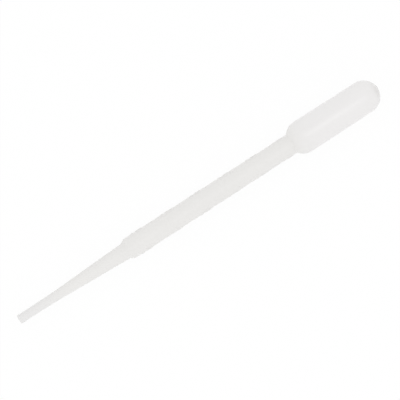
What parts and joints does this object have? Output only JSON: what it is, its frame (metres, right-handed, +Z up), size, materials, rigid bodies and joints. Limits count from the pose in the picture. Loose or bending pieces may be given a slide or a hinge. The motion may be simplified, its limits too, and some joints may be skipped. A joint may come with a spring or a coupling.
{
  "type": "dropper pipette",
  "caption": "One-piece blow-moulded transfer pipette: a thin nozzle, a graduated stem and a capsule-shaped squeeze bulb, hollow throughout and open at the nozzle.",
  "frame": {"origin": "on the surface the pipette lies on, below the middle of its bounding box", "axes": "+X runs along the pipette from the nozzle to the bulb, +Y across it and +Z up; the pipette's axis rises from the nozzle towards the bulb by about 1.6 degrees, because it lies on the bulb's shoulder and on the first graduation ring"},
  "size_m": [0.1602, 0.013, 0.0134],
  "materials": {
    "milky_polyethylene": "soft translucent milky-white low-density polyethylene, satin, with a faint parting line"
  },
  "bodies": {
    "root": {"pipette": "milky_polyethylene"}
  },
  "joints": []
}
